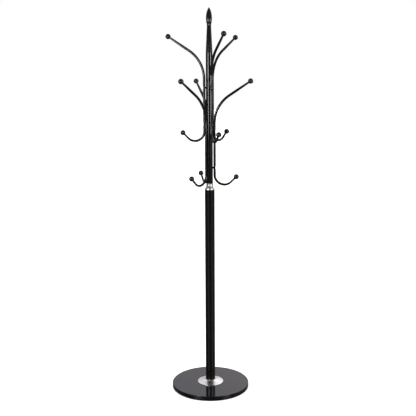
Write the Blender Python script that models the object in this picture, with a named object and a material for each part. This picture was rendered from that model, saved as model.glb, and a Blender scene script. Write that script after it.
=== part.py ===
"""Standing coat rack: a stone base, a two-stage steel pole and six double-ended hooks.

The rack is modelled the way it goes together on a bench.  A polished stone slab on four
felt pads carries the lower pole, which one bolt draws down from below through a chromed
cover.  A chromed reducer and a threaded stud join the pole to a thinner upper tube.  Two
tiers of three bent hook bars are screwed to that tube through short spacers, each bar has
a ball on both ends, and a turned finial closes the tube.

Units are metres, +Z is up, the origin is on the floor under the pole's axis, and +X runs
along one bar of the lower tier.
"""

import math

import bmesh
import bpy
from mathutils import Matrix

MM = 0.001
GAP = 0.3 * MM  # left between pieces that touch on the real rack
MERGE_DISTANCE = 0.001 * MM

# Base
PAD_RADIUS = 12.0 * MM
PAD_THICKNESS = 1.2 * MM
PAD_CIRCLE = 150.0 * MM
PAD_COUNT = 4
SLAB_RADIUS = 180.0 * MM
SLAB_TOP = 22.0 * MM
SLAB_BOTTOM = PAD_THICKNESS + GAP
SLAB_EDGE_ROUND = 2.5 * MM
COUNTERBORE_RADIUS = 20.0 * MM
COUNTERBORE_DEPTH = 10.0 * MM

# Chromed cover over the pole's foot
COVER_RADIUS = 60.0 * MM
COVER_SHEET = 1.2 * MM
COVER_RIM_RISE = 1.6 * MM
COVER_DISH_RISE = 3.8 * MM
COVER_FILLET = 5.0 * MM
COVER_TOP = SLAB_TOP + 13.2 * MM

# Bolted joints on the axis (M10)
THREAD_RADIUS = 5.0 * MM
THREAD_BORE = THREAD_RADIUS + GAP
CLEARANCE_BORE = 5.5 * MM
BOLT_HEAD_RADIUS = 9.2 * MM
BOLT_HEAD_HEIGHT = 6.4 * MM
BOLT_TIP = 58.0 * MM
WASHER_RADIUS = 18.0 * MM
WASHER_THICKNESS = 3.0 * MM
STUD_LENGTH = 96.0 * MM
STUD_CHAMFER = 1.0 * MM

# Lower pole
POLE_RADIUS = 22.5 * MM
TUBE_WALL = 1.5 * MM
POLE_TOP = 943.0 * MM
FOOT_PLUG_BASE = SLAB_TOP + 3.0 * MM
PLUG_HEIGHT = 26.0 * MM

# Chromed reducer between pole and tube
REDUCER_BAND = 2.2 * MM
REDUCER_WAIST = 22.0 * MM
REDUCER_HEIGHT = 30.0 * MM
REDUCER_NECK_RADIUS = 15.2 * MM

# Upper tube
TUBE_RADIUS = 15.0 * MM
TUBE_BOTTOM = POLE_TOP + REDUCER_HEIGHT + GAP
TUBE_TOP = 1556.0 * MM

# Finial: three smooth curves, each four (radius, height) control points
FINIAL_SPIGOT = 26.0 * MM
FINIAL_SKIRT = ((15.0, 1556.3), (14.0, 1580.0), (10.9, 1640.0), (9.6, 1671.0))
FINIAL_SHOULDER = ((9.6, 1671.0), (9.5, 1683.0), (13.5, 1683.0), (13.5, 1706.0))
FINIAL_POINT = ((13.5, 1706.0), (13.4, 1719.0), (9.6, 1739.0), (0.0, 1750.0))

# Hook bars, each bent in one plane from its top ball to its lower ball
BAR_RADIUS = 5.8 * MM
BAR_END_RADIUS = 4.4 * MM
BAR_TAPER = 75.0 * MM
RUN_REACH = 23.2 * MM  # pole axis to the bar's straight run
RUN_LENGTH = 231.9 * MM
BRANCH_SLOPE = math.radians(33.4)
BRANCH_BEND = 148.0 * MM
BRANCH_LENGTH = 114.4 * MM
HOOK_BEND = 43.6 * MM
HOOK_TURN = math.radians(135.0)
HOOK_LENGTH = 34.3 * MM
TIERS = {"lower": (1431.0 * MM, 0.0), "upper": (1627.0 * MM, 60.0)}
BARS_PER_TIER = 3

# Balls
BALL_RADIUS = 12.0 * MM
BALL_SOCKET_RADIUS = BAR_END_RADIUS + 0.5 * MM
BALL_ENGAGEMENT = 8.0 * MM

# Screws (M4 countersunk), their seats pressed into the bars, and the spacers
SEAT_DROPS = (38.5 * MM, 199.5 * MM)  # below the start of the straight run
SEAT_FLAT = 6.0 * MM
SEAT_RAMP = 4.0 * MM
SEAT_DEPTH = 1.8 * MM
SCREW_RADIUS = 2.0 * MM
SCREW_HEAD_RADIUS = 3.5 * MM
SCREW_HEAD_RIM = 0.3 * MM
SCREW_SOCKET_RADIUS = 1.4 * MM
SCREW_SOCKET_DEPTH = 1.6 * MM
SCREW_TIP_REACH = 8.0 * MM
SPACER_RADIUS = 4.5 * MM

# Facets round each piece
SIDES_SLAB = 48
SIDES_COVER = 36
SIDES_POLE = 32
SIDES_TUBE = 24
SIDES_BAR = 12
SIDES_BALL = 12
SIDES_SMALL = 10


def clear_scene():
    """Remove every object so that the script can be run again in an open file."""
    for item in list(bpy.data.objects):
        bpy.data.objects.remove(item, do_unlink=True)


def make_material(name, colour, metallic, roughness):
    """Return a Principled material with one colour, metallic value and roughness."""
    material = bpy.data.materials.new(name)
    material.use_nodes = True
    shader = material.node_tree.nodes["Principled BSDF"]
    shader.inputs["Base Color"].default_value = (*colour, 1.0)
    shader.inputs["Metallic"].default_value = metallic
    shader.inputs["Roughness"].default_value = roughness
    return material


def add_object(name, mesh, location=(0.0, 0.0, 0.0), rotation=(0.0, 0.0, 0.0)):
    """Place a mesh in the scene as a named object."""
    piece = bpy.data.objects.new(name, mesh)
    piece.location = location
    piece.rotation_euler = rotation
    bpy.context.scene.collection.objects.link(piece)
    return piece


def finish_mesh(shape, name, material=None):
    """Turn a bmesh into a smooth-shaded mesh with sharp edges kept."""
    bmesh.ops.remove_doubles(shape, verts=shape.verts, dist=MERGE_DISTANCE)
    bmesh.ops.recalc_face_normals(shape, faces=shape.faces)
    mesh = bpy.data.meshes.new(name)
    shape.to_mesh(mesh)
    shape.free()
    mesh.shade_smooth()
    mesh.set_sharp_from_angle(angle=math.radians(35.0))
    if material:
        mesh.materials.append(material)
    return mesh


def turned(name, outline, sides, material=None, ring=True):
    """Spin an outline of (radius, height) points about Z.

    A ring's outline is a closed loop off the axis.  Otherwise it starts and ends on it.
    """
    shape = bmesh.new()
    points = [shape.verts.new((radius, 0.0, height)) for radius, height in outline]
    edges = [shape.edges.new(pair) for pair in zip(points, points[1:])]
    if ring:
        edges.append(shape.edges.new((points[-1], points[0])))
    bmesh.ops.spin(
        shape,
        geom=points + edges,
        cent=(0.0, 0.0, 0.0),
        axis=(0.0, 0.0, 1.0),
        angle=math.tau,
        steps=sides,
    )
    return finish_mesh(shape, name, material)


def tube_outline(outer, inner, low, high):
    """Return the closed outline of a plain tube or a bored disc."""
    return [(inner, low), (outer, low), (outer, high), (inner, high)]


def arc(centre, radius, start, end, steps):
    """Return points of an arc in the (radius, height) plane, angles in degrees."""
    turn = (end - start) / steps
    angles = [math.radians(start + turn * step) for step in range(steps + 1)]
    return [(centre[0] + radius * math.cos(a), centre[1] + radius * math.sin(a)) for a in angles]


def bezier(controls, steps):
    """Return points of one cubic curve whose control points are given in millimetres."""
    points = []
    for step in range(steps + 1):
        t = step / steps
        weights = ((1 - t) ** 3, 3 * t * (1 - t) ** 2, 3 * t * t * (1 - t), t**3)
        radius = sum(weight * point[0] for weight, point in zip(weights, controls))
        height = sum(weight * point[1] for weight, point in zip(weights, controls))
        points.append((radius * MM, height * MM))
    return points


def boolean(target, cutter, operation):
    """Return the mesh of target cut by, or joined to, cutter, and drop the cutter."""
    piece = add_object("boolean_target", target)
    tool = add_object("boolean_tool", cutter)
    tool.hide_render = True
    tool.display_type = "WIRE"
    modifier = piece.modifiers.new("Boolean", "BOOLEAN")
    modifier.operation = operation
    modifier.solver = "EXACT"
    modifier.object = tool
    depsgraph = bpy.context.evaluated_depsgraph_get()
    result = bpy.data.meshes.new_from_object(piece.evaluated_get(depsgraph))
    result.name = target.name
    for spent in (piece, tool):
        bpy.data.objects.remove(spent, do_unlink=True)
    return result


def add_cylinder(shape, radius, start, end, sides, end_radius=None):
    """Add a capped cylinder or cone between two reaches along X to a bmesh."""
    length = end - start
    place = Matrix.Translation((start + length / 2, 0.0, 0.0)) @ Matrix.Rotation(math.pi / 2, 4, "Y")
    return bmesh.ops.create_cone(
        shape,
        cap_ends=True,
        segments=sides,
        radius1=radius,
        radius2=radius if end_radius is None else end_radius,
        depth=length,
        matrix=place,
    )["verts"]


# ---------------------------------------------------------------- base


def build_pads(material):
    """Four felt pads under the slab's rim."""
    mesh = turned(
        "base_pad",
        [(0.0, 0.0), (PAD_RADIUS, 0.0), (PAD_RADIUS, PAD_THICKNESS), (0.0, PAD_THICKNESS)],
        SIDES_TUBE,
        material,
        ring=False,
    )
    for index in range(PAD_COUNT):
        angle = math.tau * (index + 0.5) / PAD_COUNT
        place = (PAD_CIRCLE * math.cos(angle), PAD_CIRCLE * math.sin(angle), 0.0)
        add_object(f"base_pad_{index + 1}", mesh, place)


def build_slab(material):
    """Stone slab with rounded rims, a bolt hole and a counterbore from below."""
    ceiling = SLAB_BOTTOM + COUNTERBORE_DEPTH
    foot = (SLAB_RADIUS - SLAB_EDGE_ROUND, SLAB_BOTTOM + SLAB_EDGE_ROUND)
    brow = (SLAB_RADIUS - SLAB_EDGE_ROUND, SLAB_TOP - SLAB_EDGE_ROUND)
    outline = [(CLEARANCE_BORE, ceiling), (COUNTERBORE_RADIUS, ceiling), (COUNTERBORE_RADIUS, SLAB_BOTTOM)]
    outline += arc(foot, SLAB_EDGE_ROUND, -90.0, 0.0, 4)
    outline += arc(brow, SLAB_EDGE_ROUND, 0.0, 90.0, 4)
    outline.append((CLEARANCE_BORE, SLAB_TOP))
    add_object("base_slab", turned("base_slab", outline, SIDES_SLAB, material))


def build_base_bolt(material):
    """Hexagon bolt that draws the pole down onto the slab."""
    seat = SLAB_BOTTOM + COUNTERBORE_DEPTH - GAP - WASHER_THICKNESS - GAP
    head = bmesh.new()
    bmesh.ops.create_cone(
        head,
        cap_ends=True,
        segments=6,
        radius1=BOLT_HEAD_RADIUS,
        radius2=BOLT_HEAD_RADIUS,
        depth=BOLT_HEAD_HEIGHT,
        matrix=Matrix.Translation((0.0, 0.0, seat - BOLT_HEAD_HEIGHT / 2)),
    )
    overlap = seat - BOLT_HEAD_HEIGHT / 2
    shank = [
        (0.0, overlap),
        (THREAD_RADIUS, overlap),
        (THREAD_RADIUS, BOLT_TIP - STUD_CHAMFER),
        (THREAD_RADIUS - STUD_CHAMFER, BOLT_TIP),
        (0.0, BOLT_TIP),
    ]
    mesh = boolean(
        finish_mesh(head, "base_bolt", material),
        turned("bolt_shank", shank, SIDES_TUBE // 2, material, ring=False),
        "UNION",
    )
    add_object("base_bolt", mesh)


def build_base_washer(material):
    """Large washer between the bolt's head and the stone."""
    top = SLAB_BOTTOM + COUNTERBORE_DEPTH - GAP
    outline = tube_outline(WASHER_RADIUS, CLEARANCE_BORE, top - WASHER_THICKNESS, top)
    add_object("base_washer", turned("base_washer", outline, SIDES_TUBE, material))


def build_base_cover(material):
    """Pressed chrome cover: a low dish that sweeps up into a collar round the pole."""
    foot = SLAB_TOP + GAP
    bore = POLE_RADIUS + GAP
    collar = bore + COVER_SHEET
    dish_top = foot + COVER_RIM_RISE + COVER_DISH_RISE
    fillet_centre = (collar + COVER_FILLET, dish_top + COVER_FILLET)
    rim = COVER_RADIUS - COVER_SHEET / 2
    outline = [(COVER_RADIUS, foot), (COVER_RADIUS, foot + COVER_RIM_RISE - COVER_SHEET / 2)]
    outline.append((rim, foot + COVER_RIM_RISE))
    outline += arc(fillet_centre, COVER_FILLET, 270.0, 180.0, 4)
    outline += [(collar, COVER_TOP), (bore, COVER_TOP)]
    outline += arc(fillet_centre, COVER_FILLET + COVER_SHEET, 180.0, 270.0, 4)
    outline.append((rim - COVER_SHEET, foot))
    add_object("base_cover", turned("base_cover", outline, SIDES_COVER, material))


# ---------------------------------------------------------------- pole


def build_lower_pole(material):
    """Thick lower tube that stands on the slab inside the chromed cover."""
    outline = tube_outline(POLE_RADIUS, POLE_RADIUS - TUBE_WALL, SLAB_TOP + GAP, POLE_TOP)
    add_object("lower_pole", turned("lower_pole", outline, SIDES_POLE, material))


def build_plug(name, radius, low, material):
    """Threaded plug welded inside a tube's end."""
    outline = tube_outline(radius, THREAD_BORE, low, low + PLUG_HEIGHT)
    add_object(name, turned(name, outline, SIDES_TUBE, material))


def build_joining_stud(material):
    """Threaded stud that runs from the pole through the reducer into the tube."""
    low = POLE_TOP + REDUCER_HEIGHT / 2 - STUD_LENGTH / 2
    high = low + STUD_LENGTH
    tip = THREAD_RADIUS - STUD_CHAMFER
    outline = [(0.0, low), (tip, low), (THREAD_RADIUS, low + STUD_CHAMFER)]
    outline += [(THREAD_RADIUS, high - STUD_CHAMFER), (tip, high), (0.0, high)]
    add_object("joining_stud", turned("joining_stud", outline, SIDES_TUBE // 2, material, ring=False))


def build_reducer(material):
    """Chromed reducer whose side sweeps in one smooth wave from the pole to the tube."""
    low = POLE_TOP + GAP
    high = POLE_TOP + REDUCER_HEIGHT
    outline = [(THREAD_BORE, low), (POLE_RADIUS, low)]
    steps = 8
    for step in range(steps + 1):
        share = step / steps
        fall = (1.0 - math.cos(math.pi * share)) / 2.0
        radius = POLE_RADIUS - (POLE_RADIUS - REDUCER_NECK_RADIUS) * fall
        outline.append((radius, low + REDUCER_BAND + REDUCER_WAIST * share))
    outline += [(REDUCER_NECK_RADIUS, high), (THREAD_BORE, high)]
    add_object("chrome_reducer", turned("chrome_reducer", outline, SIDES_POLE, material))


def build_upper_tube(material):
    """Thin upper tube, drilled for the screws of both tiers of hook bars."""
    outline = tube_outline(TUBE_RADIUS, TUBE_RADIUS - TUBE_WALL, TUBE_BOTTOM, TUBE_TOP)
    tube = turned("upper_tube", outline, SIDES_TUBE, material)
    drills = bmesh.new()
    for _, _, height, turn in screw_places():
        drill = add_cylinder(
            drills,
            SCREW_RADIUS + GAP,
            TUBE_RADIUS - TUBE_WALL - MM,
            TUBE_RADIUS + MM,
            SIDES_SMALL,
        )
        place = Matrix.Translation((0.0, 0.0, height)) @ Matrix.Rotation(turn, 4, "Z")
        bmesh.ops.transform(drills, matrix=place, verts=drill)
    add_object("upper_tube", boolean(tube, finish_mesh(drills, "drills"), "DIFFERENCE"))


def build_finial(material):
    """Turned finial: a tapering skirt, a waist and a pointed bud, with a spigot below."""
    spigot = TUBE_RADIUS - TUBE_WALL - GAP
    shoulder = FINIAL_SKIRT[0][1] * MM
    outline = [(0.0, TUBE_TOP - FINIAL_SPIGOT), (spigot, TUBE_TOP - FINIAL_SPIGOT), (spigot, shoulder)]
    outline += bezier(FINIAL_SKIRT, 5)
    outline += bezier(FINIAL_SHOULDER, 4)[1:]
    outline += bezier(FINIAL_POINT, 6)[1:]
    add_object("finial", turned("finial", outline, SIDES_TUBE, material, ring=False))


# ---------------------------------------------------------------- hook bars


def advance(path, distances):
    """Extend a path of (x, z, heading) in a straight line, one point per distance."""
    x, z, heading = path[-1]
    for distance in distances:
        path.append((x + distance * math.cos(heading), z + distance * math.sin(heading), heading))


def bend(path, radius, angle, steps):
    """Extend a path along an arc that turns towards its left-hand side."""
    x, z, heading = path[-1]
    centre_x = x - radius * math.sin(heading)
    centre_z = z + radius * math.cos(heading)
    for step in range(1, steps + 1):
        now = heading + angle * step / steps
        path.append((centre_x + radius * math.sin(now), centre_z - radius * math.cos(now), now))


def tip_reach():
    """Distance from the pole's axis to the top ball's centre."""
    bend_reach = BRANCH_BEND * (1.0 - math.sin(BRANCH_SLOPE))
    return RUN_REACH + bend_reach + BRANCH_LENGTH * math.cos(BRANCH_SLOPE)


def run_drop():
    """Height from the start of the straight run up to the top ball's centre."""
    return BRANCH_BEND * math.cos(BRANCH_SLOPE) + BRANCH_LENGTH * math.sin(BRANCH_SLOPE)


def bar_path():
    """Centreline of a bar in its own plane, between the two ball centres."""
    seats = []
    for drop in SEAT_DROPS:
        flat_end = SEAT_FLAT
        ramp_end = SEAT_FLAT + SEAT_RAMP
        seats += [drop - ramp_end, drop - flat_end, drop + flat_end, drop + ramp_end]
    path = [(tip_reach(), 0.0, math.pi + BRANCH_SLOPE)]
    advance(path, (BRANCH_LENGTH * 0.65, BRANCH_LENGTH))
    bend(path, BRANCH_BEND, math.pi / 2 - BRANCH_SLOPE, 8)
    advance(path, (*seats, RUN_LENGTH))
    bend(path, HOOK_BEND, HOOK_TURN, 12)
    advance(path, (HOOK_LENGTH,))
    return path


def seat_depth(drop):
    """Depth of the pressed seat at a distance below the start of the straight run."""
    for seat in SEAT_DROPS:
        past_flat = abs(drop - seat) - SEAT_FLAT
        if past_flat < SEAT_RAMP:
            return SEAT_DEPTH * (1.0 - max(0.0, past_flat) / SEAT_RAMP)
    return 0.0


def bar_mesh(material):
    """Sweep a round section along the bar's path, with tapered ends and screw seats."""
    path = bar_path()
    ball_offset = BALL_RADIUS - BALL_ENGAGEMENT
    for end, sign in ((0, 1.0), (-1, -1.0)):
        x, z, heading = path[end]
        path[end] = (
            x + sign * ball_offset * math.cos(heading),
            z + sign * ball_offset * math.sin(heading),
            heading,
        )
    steps = [math.dist(a[:2], b[:2]) for a, b in zip(path, path[1:])]
    travelled = [sum(steps[:index]) for index in range(len(path))]
    shape = bmesh.new()
    rings = []
    for (x, z, heading), along in zip(path, travelled):
        to_end = min(along, travelled[-1] - along)
        radius = BAR_END_RADIUS + (BAR_RADIUS - BAR_END_RADIUS) * min(1.0, to_end / BAR_TAPER)
        on_run = math.isclose(x, RUN_REACH, abs_tol=MERGE_DISTANCE)
        limit = radius - seat_depth(-z - run_drop()) if on_run else radius
        ring = []
        for side in range(SIDES_BAR):
            angle = math.tau * (side + 0.5) / SIDES_BAR
            outward = min(radius * math.cos(angle), limit)
            ring.append(
                shape.verts.new(
                    (
                        x - outward * math.sin(heading),
                        radius * math.sin(angle),
                        z + outward * math.cos(heading),
                    )
                )
            )
        rings.append([shape.edges.new((ring[i - 1], ring[i])) for i in range(SIDES_BAR)])
    for upper, lower in zip(rings, rings[1:]):
        bmesh.ops.bridge_loops(shape, edges=upper + lower)
    for rim in (rings[0], rings[-1]):
        bmesh.ops.contextual_create(shape, geom=rim)
    return drill_bar(finish_mesh(shape, "hook_bar", material))


def drill_bar(mesh):
    """Drill and countersink the bar at both of its screw seats."""
    seat = RUN_REACH + BAR_RADIUS - SEAT_DEPTH
    mouth = SCREW_HEAD_RADIUS + GAP
    hole = SCREW_RADIUS + GAP
    drills = []
    for drop in SEAT_DROPS:
        height = -run_drop() - drop
        outline = [
            (0.0, RUN_REACH - BAR_RADIUS - MM),
            (hole, RUN_REACH - BAR_RADIUS - MM),
            (hole, seat - SCREW_HEAD_RIM - (mouth - hole)),
            (mouth, seat - SCREW_HEAD_RIM),
            (mouth, seat + MM),
            (0.0, seat + MM),
        ]
        drill = turned("drill", outline, SIDES_SMALL, ring=False)
        place = Matrix.Translation((0.0, 0.0, height)) @ Matrix.Rotation(math.pi / 2, 4, "Y")
        drill.transform(place)
        drills.append(drill)
    for drill in drills:
        mesh = boolean(mesh, drill, "DIFFERENCE")
    return mesh


def ball_mesh(material):
    """Ball with a blind socket in its underside for the end of a bar."""
    rim_angle = math.degrees(math.asin(BALL_SOCKET_RADIUS / BALL_RADIUS))
    floor = -(BALL_RADIUS - BALL_ENGAGEMENT) + GAP
    outline = [(0.0, floor), (BALL_SOCKET_RADIUS, floor)]
    outline += arc((0.0, 0.0), BALL_RADIUS, -90.0 + rim_angle, 90.0, 8)
    return turned("hook_ball", outline, SIDES_BALL, material, ring=False)


def spacer_mesh(material):
    """Sleeve between the tube and a bar, built along X."""
    start = TUBE_RADIUS + GAP
    end = RUN_REACH - BAR_RADIUS - GAP
    outline = tube_outline(SPACER_RADIUS, SCREW_RADIUS + GAP, start, end)
    mesh = turned("hook_spacer", outline, SIDES_BAR, material)
    mesh.transform(Matrix.Rotation(math.pi / 2, 4, "Y"))
    return mesh


def screw_mesh(material):
    """Countersunk socket screw, built along X with its head outwards."""
    head = RUN_REACH + BAR_RADIUS - SEAT_DEPTH
    neck = head - SCREW_HEAD_RIM - (SCREW_HEAD_RADIUS - SCREW_RADIUS)
    outline = [
        (0.0, SCREW_TIP_REACH),
        (SCREW_RADIUS, SCREW_TIP_REACH),
        (SCREW_RADIUS, neck),
        (SCREW_HEAD_RADIUS, head - SCREW_HEAD_RIM),
        (SCREW_HEAD_RADIUS, head),
        (SCREW_SOCKET_RADIUS, head),
        (SCREW_SOCKET_RADIUS, head - SCREW_SOCKET_DEPTH),
        (0.0, head - SCREW_SOCKET_DEPTH),
    ]
    mesh = turned("hook_screw", outline, SIDES_SMALL, material, ring=False)
    mesh.transform(Matrix.Rotation(math.pi / 2, 4, "Y"))
    return mesh


def hook_places():
    """Yield the name, tip height and azimuth of each hook bar."""
    for tier, (height, first) in TIERS.items():
        for index in range(BARS_PER_TIER):
            yield f"{tier}_hook_{index + 1}", height, math.radians(first) + math.tau * index / BARS_PER_TIER


def screw_places():
    """Yield the hook's name, seat number, height and azimuth of each screw."""
    for name, tip_height, turn in hook_places():
        for number, drop in enumerate(SEAT_DROPS, start=1):
            yield name, number, tip_height - run_drop() - drop, turn


def build_hooks(black, steel):
    """Six hook bars with their balls, and the screws and spacers that hold them."""
    bar = bar_mesh(black)
    ball = ball_mesh(black)
    path = bar_path()
    for name, height, turn in hook_places():
        add_object(f"{name}_bar", bar, (0.0, 0.0, height), (0.0, 0.0, turn))
        for end, (x, z, heading) in (("top", path[0]), ("low", path[-1])):
            inward = heading + math.pi if end == "top" else heading
            place = (x * math.cos(turn), x * math.sin(turn), height + z)
            tilt = (0.0, math.pi / 2 - inward, turn)
            add_object(f"{name}_{end}_ball", ball, place, tilt)
    spacer = spacer_mesh(black)
    screw = screw_mesh(steel)
    for name, number, height, turn in screw_places():
        add_object(f"{name}_spacer_{number}", spacer, (0.0, 0.0, height), (0.0, 0.0, turn))
        add_object(f"{name}_screw_{number}", screw, (0.0, 0.0, height), (0.0, 0.0, turn))


def main():
    """Build the coat rack from the floor up."""
    clear_scene()
    felt = make_material("felt_pad", (0.05, 0.05, 0.05), 0.0, 0.95)
    stone = make_material("polished_black_stone", (0.012, 0.012, 0.013), 0.0, 0.08)
    chrome = make_material("chrome_plate", (0.82, 0.82, 0.83), 1.0, 0.08)
    zinc = make_material("zinc_plated_steel", (0.55, 0.56, 0.58), 1.0, 0.35)
    black = make_material("gloss_black_paint", (0.009, 0.009, 0.010), 0.0, 0.22)
    screws = make_material("blackened_screw_steel", (0.03, 0.03, 0.03), 1.0, 0.35)
    build_pads(felt)
    build_slab(stone)
    build_base_washer(zinc)
    build_base_bolt(zinc)
    build_base_cover(chrome)
    build_lower_pole(black)
    build_plug("pole_foot_plug", POLE_RADIUS - TUBE_WALL - GAP, FOOT_PLUG_BASE, zinc)
    build_plug("pole_head_plug", POLE_RADIUS - TUBE_WALL - GAP, POLE_TOP - PLUG_HEIGHT, zinc)
    build_reducer(chrome)
    build_joining_stud(zinc)
    build_plug("tube_foot_plug", TUBE_RADIUS - TUBE_WALL - GAP, TUBE_BOTTOM, zinc)
    build_upper_tube(black)
    build_finial(black)
    build_hooks(black, screws)


if __name__ == "__main__":
    main()
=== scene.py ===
"""Looks for the standing coat rack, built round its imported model.

Each visible piece is made again here at full detail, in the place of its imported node, and is
dressed as what it is: polished black granite, gloss powder coat on steel tube and bar, moulded
phenolic balls, chrome plate, blackened screws and pressed felt.  The pieces that hide inside
the rack stay as packed and get a finish of their own.

Units are metres, +Z is up and the origin is on the floor under the pole's axis.  Sizes and
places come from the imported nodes' boxes and from the few dimensions that a box can't give.
"""

from __future__ import annotations

import logging
import math
from collections.abc import Iterator, Sequence
from dataclasses import dataclass
from enum import Enum
from functools import cache

import bmesh
import bpy
from mathutils import Matrix, Vector


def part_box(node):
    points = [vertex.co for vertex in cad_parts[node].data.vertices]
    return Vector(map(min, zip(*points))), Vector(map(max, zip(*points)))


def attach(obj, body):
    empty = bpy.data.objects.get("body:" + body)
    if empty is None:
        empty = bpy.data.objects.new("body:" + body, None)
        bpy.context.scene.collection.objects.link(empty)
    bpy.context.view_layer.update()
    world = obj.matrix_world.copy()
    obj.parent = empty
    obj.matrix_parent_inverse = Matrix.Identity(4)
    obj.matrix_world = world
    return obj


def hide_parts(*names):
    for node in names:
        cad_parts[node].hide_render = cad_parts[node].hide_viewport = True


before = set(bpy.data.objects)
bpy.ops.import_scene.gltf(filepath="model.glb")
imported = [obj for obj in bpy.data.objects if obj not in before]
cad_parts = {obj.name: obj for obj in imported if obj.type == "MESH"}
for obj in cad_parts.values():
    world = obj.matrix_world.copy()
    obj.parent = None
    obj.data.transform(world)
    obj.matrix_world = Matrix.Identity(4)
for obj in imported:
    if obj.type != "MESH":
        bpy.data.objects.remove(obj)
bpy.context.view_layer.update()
LOG = logging.getLogger("coat_rack")

MM = 0.001
BODY = "root"
CLEARANCE = 0.3 * MM  # left between pieces that touch on the real rack
ARC_STEPS = 8  # facets on each rounded corner
SUPPORT = 0.25  # share of a rounding at which a flat face is held flat beside it
MERGE_DISTANCE = 0.001 * MM
SHARP_ANGLE = math.radians(40.0)

Outline = list[tuple[float, float]]
Tree = bpy.types.NodeTree
Source = tuple[bpy.types.Node, str]


class Slot(Enum):
    """Material slots of the record, one named beside each new piece; the script passes them along without
    applying them.
    """

    STONE = "stone"
    FELT = "felt"
    CHROME = "chrome"
    ZINC = "zinc"
    BLACK_PAINT = "black_paint"
    BLACK_BALL = "black_ball"
    SCREW_STEEL = "screw_steel"


class Tier(Enum):
    """Tiers of hook bars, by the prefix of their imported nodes."""

    LOWER = "lower"
    UPPER = "upper"


# ---------------------------------------------------------------- finishes


def linear(code: str) -> tuple[float, float, float, float]:
    """Turn an sRGB hex colour into linear light.

    Args:
        code: Colour such as "#1a2b3c".

    Returns:
        Linear red, green and blue, and an alpha of 1.
    """
    parts = [int(code[i : i + 2], 16) / 255.0 for i in (1, 3, 5)]
    light = [c / 12.92 if c <= 0.04045 else ((c + 0.055) / 1.055) ** 2.4 for c in parts]
    return (*light, 1.0)


def connect(tree: Tree, target: bpy.types.Node, links: dict[str, Source]) -> None:
    """Link a node's inputs.

    Args:
        tree: Node tree that both ends are in.
        target: Node whose inputs are linked.
        links: Source node and output identifier by input identifier.
    """
    inputs = {socket.identifier: socket for socket in target.inputs}
    for key, (source, output) in links.items():
        outputs = {socket.identifier: socket for socket in source.outputs}
        tree.links.new(outputs[output], inputs[key])


def add(
    tree: Tree,
    kind: str,
    settings: dict[str, object] | None = None,
    links: dict[str, Source] | None = None,
) -> bpy.types.Node:
    """Add one node with its settings and links.

    Args:
        tree: Node tree that gets the node.
        kind: Type of the node, without the leading "ShaderNode".
        settings: Values by property name or by input identifier.  "stops" gives a colour
            ramp's positions and hex colours.
        links: Source node and output identifier by input identifier.

    Returns:
        The new node.
    """
    made = tree.nodes.new("ShaderNode" + kind)
    inputs = {socket.identifier: socket for socket in made.inputs}
    for key, value in (settings or {}).items():
        if key == "stops":
            ramp = made.color_ramp.elements
            while len(ramp) < len(value):
                ramp.new(1.0)
            for element, (position, colour) in zip(ramp, value):
                element.position = position
                element.color = linear(colour)
        elif key in inputs:
            inputs[key].default_value = value
        else:
            setattr(made, key, value)
    connect(tree, made, links or {})
    return made


@dataclass(frozen=True)
class Finish:
    """A material and how its surface was made; each kind adds its own pattern."""

    title: str
    colour: str
    roughness: float
    metallic: float = 0.0
    ior: float = 1.5

    @cache
    def material(self) -> bpy.types.Material:
        """Make the finish's Blender material once.

        Returns:
            The material, with its pattern in nodes.
        """
        material = bpy.data.materials.new(self.title)
        material.use_nodes = True
        shader = material.node_tree.nodes["Principled BSDF"]
        shader.inputs["Base Color"].default_value = linear(self.colour)
        shader.inputs["Metallic"].default_value = self.metallic
        shader.inputs["Roughness"].default_value = self.roughness
        shader.inputs["IOR"].default_value = self.ior
        place = (add(material.node_tree, "TexCoord"), "Object")
        self.pattern(material.node_tree, shader, place)
        return material

    def pattern(self, tree: Tree, shader: bpy.types.Node, place: Source) -> None:
        """Add the nodes that vary the surface.

        Args:
            tree: Node tree of the material.
            shader: Its Principled shader.
            place: Position on the piece, in metres.
        """
        raise NotImplementedError


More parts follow.
